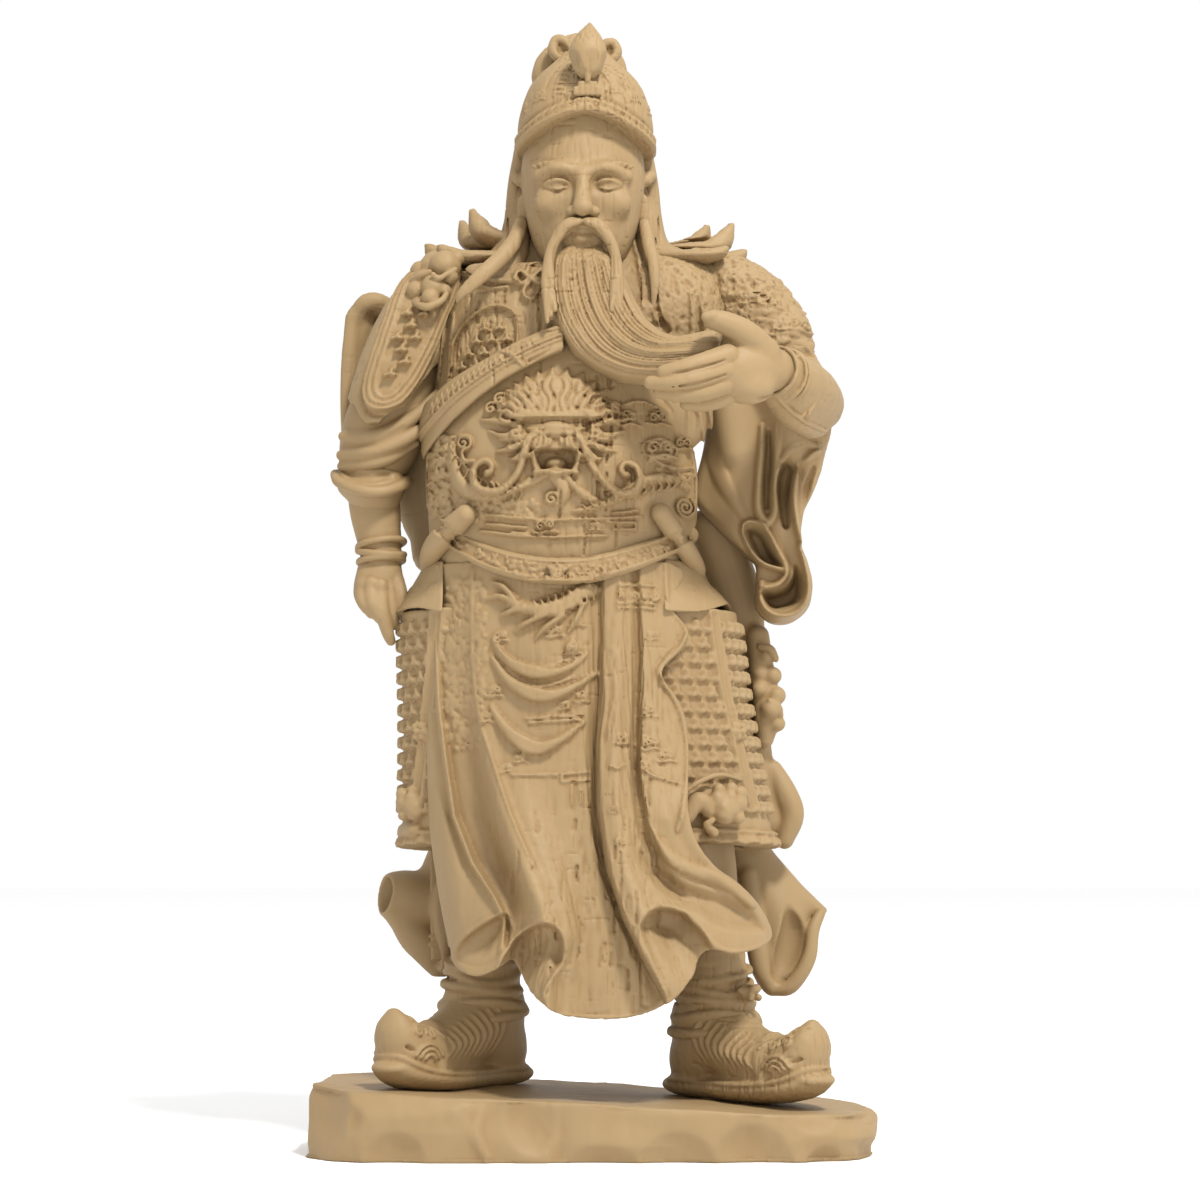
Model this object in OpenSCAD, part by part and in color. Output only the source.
// Standing armoured figure, assembled from carved and doweled hardwood blocks.
// Origin at the centre of the plinth's underside, +Z up, the figure faces -Y.
// "Right" and "left" are the figure's own sides, so its right is towards -X.

/* [Figure] */
// Overall height, from the table to the top of the hair bun
figure_h = 402; // [300:2:600]
// Thickness of the armour and cloth layers over the body blocks
layer = 6; // [4:0.5:8]
// Half width of the waist block
waist_rx = 41; // [38:0.5:43]
// Half width of the head block
head_rx = 22; // [19:0.5:24]

/* [Plinth] */
// Height of the slab below the origin axis
plinth_h = 19.8; // [16:0.2:24]
// Fall of the slab's top towards the left side, in degrees
plinth_fall = 2.9; // [0:0.1:4]

/* [Joinery] */
// Diameter of the dowels in the legs, waist and neck
dowel_d = 8; // [6:0.5:9]
// Diameter of the dowels in the arms
arm_dowel_d = 5; // [4:0.5:6]
// Diameter of the pegs in the cap
peg_d = 3; // [2:0.5:4]
// Shank diameter of the plinth screws
screw_d = 4; // [3:0.5:5]

/* [Hidden] */

k = figure_h / 402;      // the whole figure scales with its height
wood = "burlywood";
dark_wood = "peru";
round_fn = 32;
big = 300;               // larger than the figure's width, for cutting blocks

leg_x = [-38, 44];       // right and left leg axes
leg_y = 4;
sole_z = [22.2, 18.2];   // height of the slab's top under each boot
leg_top = 70;            // where the shins meet the lower body
waist_z = 207;           // joint between lower body and trunk
front_y = -18;           // glue line between the front and the side pieces
back_y = 22;             // glue line between the side and the back pieces
apron_split_x = 14;      // glue line between the apron and the left flap
neck_z = 326;            // joint between trunk and head
brim_z = 360;            // joint between head and cap
head_x = -2.5;
head_y = -15;
wrist_right = [-74, -1, 209];
wrist_left = [63, -54, 270];

// Sections: [z, centre x, centre y, half width, half depth]
lower_body_rows = [[leg_top, 2, 4, 48, 29], [110, -2, 2, 49, 31], [160, -6, 0, 47, 32],
                   [waist_z, -10, -2, waist_rx, 32]];
trunk_rows = [[waist_z, -10, -2, waist_rx, 32], [235, -10, -4, 42, 36], [262, -10, -3, 42, 33],
              [290, -6, 0, 46, 29], [308, -3, 3, 47, 25], [319, -2, 4, 36, 20],
              [neck_z, -2, 2, 20, 17]];
peplum_rows = [[180, -8.5, -2, 63, 40], [193, -9, -2, 58, 39], [199, -10, -2, 51, 37]];
head_rows = [[309, 0, 2, 11, 13], [316, 0, -1, 16, 19], [326, 0, -1, 20, 23],
             [338, 0, 0, head_rx, 24.5], [350, 0, 1, head_rx, 25], [brim_z, 0, 1, 21.5, 25]];

// ---- shape helpers ------------------------------------------------------------------------

function unit(v) = v / norm(v);

// Closed skin over equal rings of n points, with a fan at each end
module skin(rings, n) {
  last = len(rings) - 1;
  points = [for (r = rings) each r];
  ends = [centroid(rings[0]), centroid(rings[last])];
  foot = len(points);
  sides = [for (j = [0:last - 1], i = [0:n - 1])
             let (a = j * n + i, b = j * n + (i + 1) % n) each [[a, a + n, b + n], [a, b + n, b]]];
  bottom = [for (i = [0:n - 1]) [i, (i + 1) % n, foot]];
  top = [for (i = [0:n - 1]) [last * n + (i + 1) % n, last * n + i, foot + 1]];
  polyhedron(concat(points, ends), concat(sides, bottom, top), convexity = 6);
}

function centroid(ring) = [for (a = [0:2]) let (v = [for (p = ring) p[a]]) v * [for (p = ring) 1]
                                                                            / len(ring)];

// Solid through flat elliptical sections that are stacked along z
module loft(rows, n = 24, grow = 0) {
  skin([for (s = rows) [for (i = [0:n - 1]) let (a = 360 * i / n)
    [s[1] + (s[3] + grow) * cos(a), s[2] + (s[4] + grow) * sin(a), s[0]]]], n);
}

// Tapering limb along a path of [x, y, z, half width, half depth]
module limb(path, n = 14, side = [0, 1, 0]) {
  last = len(path) - 1;
  function at(i) = [path[i][0], path[i][1], path[i][2]];
  skin([for (i = [0:last])
    let (t = unit(at(min(i + 1, last)) - at(max(i - 1, 0))),
         u = unit(cross(t, side)), v = cross(t, u))
      [for (j = [0:n - 1]) let (a = 360 * j / n)
        at(i) + u * path[i][3] * cos(a) + v * path[i][4] * sin(a)]], n);
}

module ball(p, r, fn = 20) {
  translate(p) sphere(r, $fn = fn);
}

// Part of the children between two heights and two depths
module between(z, y = [-big, big], x = [-big, big]) {
  intersection() {
    children();
    translate([x[0], y[0], z[0]]) cube([x[1] - x[0], y[1] - y[0], z[1] - z[0]]);
  }
}

// ---- block bodies that the layers are fitted over --------------------------------------------

module lower_body_form(grow = 0) {
  loft(lower_body_rows, grow = grow);
}

// The space that the lower body and the legs fill, down to below the hems
module skirt_space() {
  loft(concat([[30, 2, 4, 48, 29]], lower_body_rows));
}

module trunk_form(grow = 0) {
  loft(trunk_rows, grow = grow);
}

module head_form() {
  translate([head_x, head_y, 0]) loft(head_rows);
}

// ---- joinery -----------------------------------------------------------------------------

module leg_dowel(i) {
  translate([leg_x[i], leg_y, 8]) cylinder(h = 82, d = dowel_d, $fn = round_fn);
}

module waist_dowel(x) {
  translate([x, 0, waist_z - 14]) cylinder(h = 28, d = dowel_d, $fn = round_fn);
}

module neck_dowel() {
  translate([head_x, -4, neck_z - 20]) cylinder(h = 36, d = dowel_d, $fn = round_fn);
}

module shoulder_dowel(side) {
  translate([side > 0 ? 36 : -48, 3, 297]) rotate([0, 90 * side, 0])
    cylinder(h = 22, d = arm_dowel_d, $fn = round_fn);
}

module wrist_dowel_right() {
  translate(wrist_right - [0, 0, 8]) cylinder(h = 18, d = arm_dowel_d, $fn = round_fn);
}

module wrist_dowel_left() {
  translate(wrist_left) rotate([0, 0, -30]) rotate([90, 0, -28]) translate([0, 0, -8])
    cylinder(h = 14, d = arm_dowel_d, $fn = round_fn);
}

module brim_peg() {
  translate([head_x, head_y + 2, brim_z - 8]) cylinder(h = 18, d = peg_d, $fn = round_fn);
}

module jewel_peg() {
  translate([-0.6, -26, 366]) rotate([40, 0, 0]) cylinder(h = 14, d = peg_d, $fn = round_fn);
}

// Countersunk wood screw, head flush with the underside
module screw(i) {
  translate([leg_x[i] + (i == 0 ? -12 : 12), leg_y - 16, 0]) {
    cylinder(h = 3, d1 = screw_d * 2, d2 = screw_d, $fn = round_fn);
    cylinder(h = 32, d = screw_d, $fn = round_fn);
  }
}

// ---- plinth, boots and legs -----------------------------------------------------------------

module plinth() {
  outline = [[-98, -30], [-94, -52], [-60, -57], [-22, -54], [-6, -49], [16, -52], [48, -58],
             [86, -58], [93, -50], [99, -22], [96, 8], [88, 38], [52, 44], [8, 47], [-44, 42],
             [-92, 40], [-97, 6]];
  chips = [[-88, -62, 21, 32, 24], [84, -60, 8, 38, -28], [20, -64, 15, 30, 8],
           [99, 30, 12, 30, 70], [-60, 50, 20, 26, -170]];
  color(wood) difference() {
    linear_extrude(30) polygon(outline);
    translate([0, 0, plinth_h]) rotate([0, plinth_fall, 0])
      translate([-big / 2, -big / 2, 0]) cube([big, big, 40]);
    for (c = chips)
      translate([c[0], c[1], c[2]]) rotate([c[3], 0, c[4]]) cube([34, 22, 8], center = true);
    for (i = [0, 1]) {
      leg_dowel(i);
      screw(i);
    }
  }
}

module plinth_screws() {
  color("silver") for (i = [0, 1]) screw(i);
}

// Boot with a thick sole that curls up at the toe; the foot runs from heel to length
module boot(i, turn, heel, length) {
  foot_rows = [[-heel, 0, 10, 9, 9], [8 - heel, 0, 13, 12, 13], [8, 0, 14, 13.5, 13],
               [length * 0.45, 0, 13, 15, 12.5], [length * 0.68, 0, 14, 14, 13],
               [length * 0.8, 0, 18, 11, 11], [length * 0.87, 0, 22, 8, 6]];
  color(wood) difference() {
    union() {
      translate([leg_x[i], leg_y, sole_z[i]]) rotate([0, 0, turn]) rotate([90, 0, 0])
        loft(foot_rows);
      loft([[sole_z[i] + 6, leg_x[i], leg_y, 15, 15], [sole_z[i] + 20, leg_x[i], leg_y, 15, 15],
            [sole_z[i] + 28, leg_x[i], leg_y, 14.5, 14]]);
    }
    translate([leg_x[i], leg_y, plinth_h - 0.05 * leg_x[i]]) translate([0, 0, -10])
      rotate([0, plinth_fall, 0]) cube([big, big, 20], center = true);
    leg_dowel(i);
    screw(i);
  }
}

module boot_right() {
  boot(0, -38, 16, 65);
}

module boot_left() {
  boot(1, 40, 24, 71);
}

module shin(i) {
  color(wood) difference() {
    loft([[sole_z[i] + 28, leg_x[i], leg_y, 13.5, 13], [sole_z[i] + 34, leg_x[i], leg_y, 12, 12],
          [leg_top, leg_x[i], leg_y, 11.5, 12]]);
    leg_dowel(i);
  }
}

module shin_right() {
  shin(0);
}

module shin_left() {
  shin(1);
}

module leg_dowels() {
  color(dark_wood) for (i = [0, 1]) leg_dowel(i);
}

// ---- lower body and its cloth layers -------------------------------------------------------

module lower_body() {
  color(wood) difference() {
    lower_body_form();
    for (i = [0, 1]) leg_dowel(i);
    for (x = [-32, 12]) waist_dowel(x);
  }
}

// Outer surface of the front cloth, wider and deeper towards the hem
module front_cloth_form() {
  loft([[48, 6, -2, 58, 48], [80, 3, -3, 60, 47], [120, -4, -2, 56, 43], [160, -8, -2, 53, 40],
        [199, -10, -3, 48, 38]]);
}

// Cloth in front of the glue line, over the body block and clear of the hem's rising sides
module front_cloth(x, rise) {
  difference() {
    between([48, 199], [-big, front_y], x) front_cloth_form();
    skirt_space();
    translate([rise[0], -100, rise[1]]) rotate([0, rise[2], 0])
      translate([-80, 0, -60]) cube([160, 100, 60]);
  }
}

module apron() {
  color(wood) front_cloth([-big, apron_split_x], [-38, 62, 21]);
}

module flap_left() {
  color(wood) front_cloth([apron_split_x, big], [64, 72, -24]);
}

module side_cloth_form() {
  loft([[100, 0, 2, 68, 36], [112, -1, 2, 66, 36], [150, -4.5, 1, 62, 36], [192, -8, -2, 60, 36]]);
}

module tasset_right() {
  color(wood) difference() {
    between([102, 186], [front_y, back_y], [-big, -20]) side_cloth_form();
    skirt_space();
  }
}

module tasset_left() {
  color(wood) difference() {
    between([102, 186], [front_y, back_y], [20, big]) side_cloth_form();
    skirt_space();
    rear_sash_form();
  }
}

// Short flared cloth that hangs over the top of a tasset
module peplum(x) {
  difference() {
    between([186, 199], [front_y, back_y], x) loft(peplum_rows);
    lower_body_form();
    hand_right_form();
    rear_sash_form();
  }
}

module peplum_right() {
  color(wood) peplum([-big, -20]);
}

module peplum_left() {
  color(wood) peplum([20, big]);
}

module robe_back() {
  color(wood) difference() {
    between([62, 199], [back_y, big])
      loft([[58, 2, 6, 60, 40], [110, -2, 4, 58, 38], [199, -10, 0, 46, 37]]);
    skirt_space();
  }
}

module robe_tail_right() {
  color(wood) difference() {
    limb([[-54, 28, 120, 7, 7], [-59, 30, 100, 10, 8], [-62, 31, 86, 14, 9], [-60, 31, 68, 8, 8]]);
    robe_back_space();
    skirt_space();
    side_cloth_form();
  }
}

module robe_tail_left() {
  color(wood) difference() {
    limb([[58, 26, 118, 7, 7], [62, 28, 100, 9, 8], [68, 28, 82, 16, 8], [67, 27, 54, 10, 7]]);
    robe_back_space();
    skirt_space();
    side_cloth_form();
    rear_sash_form();
  }
}

// Everything the robe back covers, so that the tails stop at its surface
module robe_back_space() {
  between([40, 199], [back_y, big])
    loft([[40, 2, 6, 60, 40], [58, 2, 6, 60, 40], [110, -2, 4, 58, 38], [199, -10, 0, 46, 37]]);
  translate([-44, -big, 0]) cube([86, big + 30, 140]);
}

module rear_sash_form() {
  limb([[44, 12, 218, 6, 6], [50, 14, 205, 7, 6], [53, 15, 190, 7, 6], [54, 14, 172, 8, 7],
        [57, 13, 156, 8, 6], [57, 13, 136, 7, 6], [64, 13, 116, 8, 6]]);
}

module rear_sash_left() {
  color(wood) difference() {
    rear_sash_form();
    skirt_space();
    trunk_form();
    belt_form();
  }
}

// ---- trunk and its armour ---------------------------------------------------------------------

module trunk() {
  color(wood) difference() {
    trunk_form();
    for (x = [-32, 12]) waist_dowel(x);
    neck_dowel();
    for (s = [-1, 1]) shoulder_dowel(s);
    head_solid();
  }
}

module belt_form() {
  loft([[199, -10, -4, 47, 40], [203, -10, -5, 49, 42], [212, -10, -4, 48, 41]]);
}

module belt() {
  color(wood) difference() {
    belt_form();
    skirt_space();
    trunk_form();
  }
}

module belly_plate() {
  color(wood) difference() {
    union() {
      between([212, 266], [-big, 4])
        loft([[212, -10, -4, 47, 39], [235, -10, -5, 47.5, 42], [252, -10, -4, 47.5, 41],
              [266, -9, -3, 46, 38]]);
      ball([-12, -40, 244], 9);
    }
    trunk_form();
  }
}

module chest_plate() {
  color(wood) difference() {
    between([284, 304], [-big, -4], [-52, -16]) trunk_form(grow = layer - 1);
    trunk_form();
    lion_form();
  }
}

module diagonal_sash() {
  color(wood) difference() {
    intersection() {
      trunk_form(grow = layer);
      translate([-20, -30, 278]) rotate([0, -24, 0]) cube([90, 60, 12], center = true);
      translate([-60, -60, 266]) cube([96, 62, 18]);
    }
    trunk_form();
    beard_form();
    forearm_left_form();
  }
}

// Stiff pointed petals of the shoulder collar
module petals(tips) {
  for (t = tips)
    limb([[t[0] * 0.36, 2, 322, 7, 5], [t[0] * 0.7, t[1] * 0.7, t[2] - 5, 8, 4], [each t, 1.5, 1.2]],
         n = 12);
}

module petals_right() {
  color(wood) difference() {
    petals([[-42, 6, 336], [-51, 12, 330], [-57, -12, 321]]);
    trunk_form();
    head_solid();
    ribbon_forms();
    lion_form();
    pauldron_right_form();
  }
}

module petals_left() {
  color(wood) difference() {
    petals([[51, 12, 336], [57, 4, 325], [47, -14, 321]]);
    trunk_form();
    head_solid();
    ribbon_forms();
    pauldron_left_form();
  }
}

// ---- right arm --------------------------------------------------------------------------------

module lion_form() {
  ball([-56, -12, 308], 9.5);
  ball([-57, -20, 303], 5.5);
}

module shoulder_lion_right() {
  color(wood) difference() {
    lion_form();
    trunk_form();
  }
}

module pauldron_right_form() {
  limb([[-52, 2, 314, 7, 14], [-60, 1, 302, 11, 19], [-68, 0, 286, 15, 21], [-74, -1, 264, 15, 21]],
       n = 20);
}

module pauldron_right() {
  color(wood) difference() {
    pauldron_right_form();
    trunk_form();
    lion_form();
    sleeve_right_form();
    belly_and_chest_space();
    shoulder_dowel(-1);
  }
}

// Space of the trunk's front layers, so that the arms stop at their surface
module belly_and_chest_space() {
  trunk_form(grow = layer);
}

module sleeve_right_form() {
  limb([[-62, 4, 292, 9, 11], [-70, 3, 274, 12, 14], [-77, 2, 256, 12, 14], [-79, 1, 242, 9, 11]]);
}

module sleeve_right() {
  color(wood) difference() {
    sleeve_right_form();
    belly_and_chest_space();
    forearm_right_form();
    shoulder_dowel(-1);
  }
}

module drape_right() {
  color(wood) difference() {
    union() {
      limb([[-87, 20, 301, 4, 6], [-80, 21, 302, 5, 8], [-69, 19, 296, 5, 6]], n = 14);
      limb([[-83, 19, 298, 6, 5], [-84, 19, 276, 5, 4], [-83, 15, 252, 4, 3]], n = 14);
      limb([[-62, 17, 288, 8, 6], [-63, 17, 250, 8, 5], [-61, 15, 214, 7, 4]], n = 14);
    }
    pauldron_right_form();
    sleeve_right_form();
    forearm_right_form();
    trunk_form(grow = layer);
    belt_form();
  }
}

// Flared saucer-like cuff under the elbow
module cuff_right() {
  color(wood) difference() {
    loft([[230, -79, 0, 8.5, 9], [235, -79, 0, 11.5, 13], [242, -79, 0, 10.5, 12]]);
    forearm_right_form();
    sleeve_right_form();
  }
}

module forearm_right_form() {
  limb([[-79, 1, 242, 8, 9], [-78, 0, 230, 8.5, 9], [-75, -1, 216, 7, 7.5],
        [wrist_right[0], wrist_right[1], wrist_right[2], 6, 7]]);
}

module forearm_right() {
  color(wood) difference() {
    forearm_right_form();
    wrist_dowel_right();
    belly_and_chest_space();
  }
}

module hand_right_form() {
  limb([[wrist_right[0], wrist_right[1], wrist_right[2], 6, 7], [-75, -2, 201, 7.5, 8],
        [-75, -3, 194, 7.5, 8], [-73.5, -2, 188, 5.5, 6]]);
  limb([[-73, -5, 196, 3, 3], [-71, -5, 188, 3, 3], [-71, -3, 178, 2.2, 2.2]], n = 10);
}

module hand_right() {
  color(wood) difference() {
    hand_right_form();
    wrist_dowel_right();
    forearm_right_form();
    skirt_space();
  }
}

// ---- left arm ---------------------------------------------------------------------------------

module pauldron_left_form() {
  limb([[44, 2, 314, 7, 14], [52, 1, 303, 11, 19], [61, 0, 288, 14, 21]], n = 20);
}

module pauldron_left() {
  color(wood) difference() {
    pauldron_left_form();
    belly_and_chest_space();
    shoulder_dowel(1);
  }
}

module sleeve_left() {
  color(wood) difference() {
    union() {
      limb([[60, 1, 290, 13, 19], [68, -2, 279, 13, 18], [75, -6, 266, 12, 16],
            [77, -8, 252, 10, 13]], n = 20);
      hull() {
        ball([44, 2, 266], 7);
        ball([46, 4, 244], 6);
        ball([78, -8, 256], 9);
        ball([69, -10, 226], 8);
      }
      hull() {
        ball([69, -10, 226], 8);
        ball([60, -8, 208], 6);
        ball([72, -14, 194], 8);
      }
    }
    pauldron_left_form();
    belly_and_chest_space();
    forearm_left_form();
    belt_form();
    shoulder_dowel(1);
    peplum_space();
  }
}

// Box around the top edge of the left peplum and the sash end
module peplum_space() {
  rear_sash_form();
  between([180, 199]) loft(peplum_rows);
}

module forearm_left_form() {
  limb([[80, -14, 263, 10, 10], [74, -34, 266, 11, 11],
        [wrist_left[0], wrist_left[1], wrist_left[2], 8, 8]], side = [0, 0, 1]);
}

module forearm_left() {
  color(wood) difference() {
    forearm_left_form();
    wrist_dowel_left();
  }
}

// Open hand that holds the end of the beard, thumb above and fingers below
module hand_left() {
  color(wood) difference() {
    union() {
      limb([[wrist_left[0], wrist_left[1], wrist_left[2], 8, 7.5], [52, -62, 269, 9, 8],
            [43, -66, 268, 8, 7]], side = [0, 0, 1]);
      limb([[50, -64, 275, 4, 4], [44, -67, 282, 3.5, 3.5], [38, -68, 285, 2.5, 2.5]], n = 10);
      for (f = [0:3])
        limb([[45, -70 + 3 * f, 265, 3.2, 3.2], [34, -70 + 3 * f, 261.5 - f, 3, 3],
              [21 + 2 * f, -69 + 3 * f, 262 - f, 2.2, 2.2]], n = 10);
    }
    beard_form();
    forearm_left_form();
    wrist_dowel_left();
  }
}

// ---- head, cap and beard -----------------------------------------------------------------------

// Plain head block: the nose fills the middle third between hairline and chin, and the ears
// reach from the nose's base to the brow
module head_solid() {
  chin_z = head_rows[0][0];
  face_h = brim_z - chin_z;
  nose_z = chin_z + face_h / 3;
  head_form();
  translate([head_x, head_y, nose_z]) {
    limb([[0, -22, face_h / 3, 2, 2], [0, -27, 3, 4, 4], [0, -25, 0, 4, 3]],
         n = 12, side = [1, 0, 0]);
    for (s = [-1, 1])
      limb([[s * (head_rx + 1), 6, -3, 4, 4], [s * (head_rx + 2.5), 7, 8, 4, 5],
            [s * (head_rx + 2), 8, face_h * 0.6, 3.5, 6]], n = 12);
  }
}

module head() {
  color(wood) difference() {
    head_solid();
    neck_dowel();
    brim_peg();
  }
}

module cap_form() {
  translate([head_x, head_y, 0])
    loft([[brim_z, 0, 1, 23.5, 27], [366, 0, 1, 23.8, 27.5], [373, 0, 2, 22, 25],
          [379, 0, 3, 18, 20], [384, 0, 4, 12, 13], [386, 0, 5, 5, 6]]);
}

module cap() {
  color(wood) difference() {
    cap_form();
    brim_peg();
    jewel_peg();
  }
}

module cap_knots() {
  color(wood) difference() {
    union() {
      ball([-4, 2, 388], 12);
      ball([-3.5, 6, 394], 8);
      ball([-16, -6, 386], 6);
      ball([9, -6, 388], 5.5);
      translate([-4, 2, 368]) cylinder(h = 14, r = 8, $fn = round_fn);
    }
    cap_form();
  }
}

module cap_jewel() {
  color(wood) difference() {
    union() {
      limb([[-0.6, -30, 371, 2.6, 2.6], [-0.6, -35, 377, 2.6, 2.6], [-0.7, -37, 381, 2.6, 2.6]],
           n = 12, side = [1, 0, 0]);
      loft([[376, -0.7, -38, 2.2, 2.2], [380, -0.7, -37, 6, 5], [384, -0.7, -36, 6.5, 5.5],
            [389, -0.6, -35, 4.5, 4], [396, -0.3, -34, 0.8, 0.8]], n = 16);
    }
    cap_form();
    jewel_peg();
  }
}

module beard_form() {
  limb([[0, -36, 320, 12, 5], [0, -44, 312, 13, 6], [1, -47, 300, 14, 6.5], [4, -50, 287, 14, 7],
        [14, -56, 277, 11, 7], [27, -61, 272, 8, 6.5], [40, -65, 271, 6, 5]], n = 18);
}

module beard() {
  color(wood) difference() {
    beard_form();
    head_solid();
    trunk_form();
    moustache_forms();
  }
}

module moustache_forms() {
  for (s = [-1, 1])
    limb([[head_x + s * 1.5, -42, 324, 1.5, 2], [head_x + s * 9, -42, 322, 2, 2.4],
          [head_x + s * 13, -44, 312, 2, 2.4], [head_x + s * 14.5, -48, 296, 1.6, 2],
          [head_x + s * 13, -51, 284, 1, 1.2]], n = 10);
}

module moustache() {
  color(wood) difference() {
    moustache_forms();
    head_solid();
  }
}

// Two hair ribbons that run from behind the ears down onto the chest
module ribbon_forms() {
  limb([[-29, -9, 342, 3, 3], [-30, -11, 331, 4, 3], [-33, -16, 321, 4, 4],
        [-38, -18, 311, 3.5, 4]], n = 12);
  limb([[24, -9, 342, 3, 3], [25, -11, 331, 4, 3], [28, -17, 321, 4, 4],
        [30, -21, 309, 3.5, 4]], n = 12);
}

module hair_ribbons() {
  color(wood) difference() {
    ribbon_forms();
    head_solid();
    trunk_form();
  }
}

// ---- dowel groups -----------------------------------------------------------------------------

module body_dowels() {
  color(dark_wood) {
    for (x = [-32, 12]) waist_dowel(x);
    neck_dowel();
  }
}

module arm_dowels() {
  color(dark_wood) {
    for (s = [-1, 1]) shoulder_dowel(s);
    wrist_dowel_right();
    wrist_dowel_left();
  }
}

module small_pegs() {
  color(dark_wood) {
    brim_peg();
    jewel_peg();
  }
}

// ---- nodes ------------------------------------------------------------------------------------

scale(k) plinth();
scale(k) plinth_screws();
scale(k) leg_dowels();
scale(k) boot_right();
scale(k) boot_left();
scale(k) shin_right();
scale(k) shin_left();
scale(k) lower_body();
scale(k) apron();
scale(k) flap_left();
scale(k) tasset_right();
scale(k) tasset_left();
scale(k) peplum_right();
scale(k) peplum_left();
scale(k) robe_back();
scale(k) robe_tail_right();
scale(k) robe_tail_left();
scale(k) rear_sash_left();
scale(k) belt();
scale(k) trunk();
scale(k) belly_plate();
scale(k) chest_plate();
scale(k) diagonal_sash();
scale(k) petals_right();
scale(k) petals_left();
scale(k) shoulder_lion_right();
scale(k) pauldron_right();
scale(k) sleeve_right();
scale(k) drape_right();
scale(k) cuff_right();
scale(k) forearm_right();
scale(k) hand_right();
scale(k) pauldron_left();
scale(k) sleeve_left();
scale(k) forearm_left();
scale(k) hand_left();
scale(k) head();
scale(k) cap();
scale(k) cap_knots();
scale(k) cap_jewel();
scale(k) beard();
scale(k) moustache();
scale(k) hair_ribbons();
scale(k) body_dowels();
scale(k) arm_dowels();
scale(k) small_pegs();
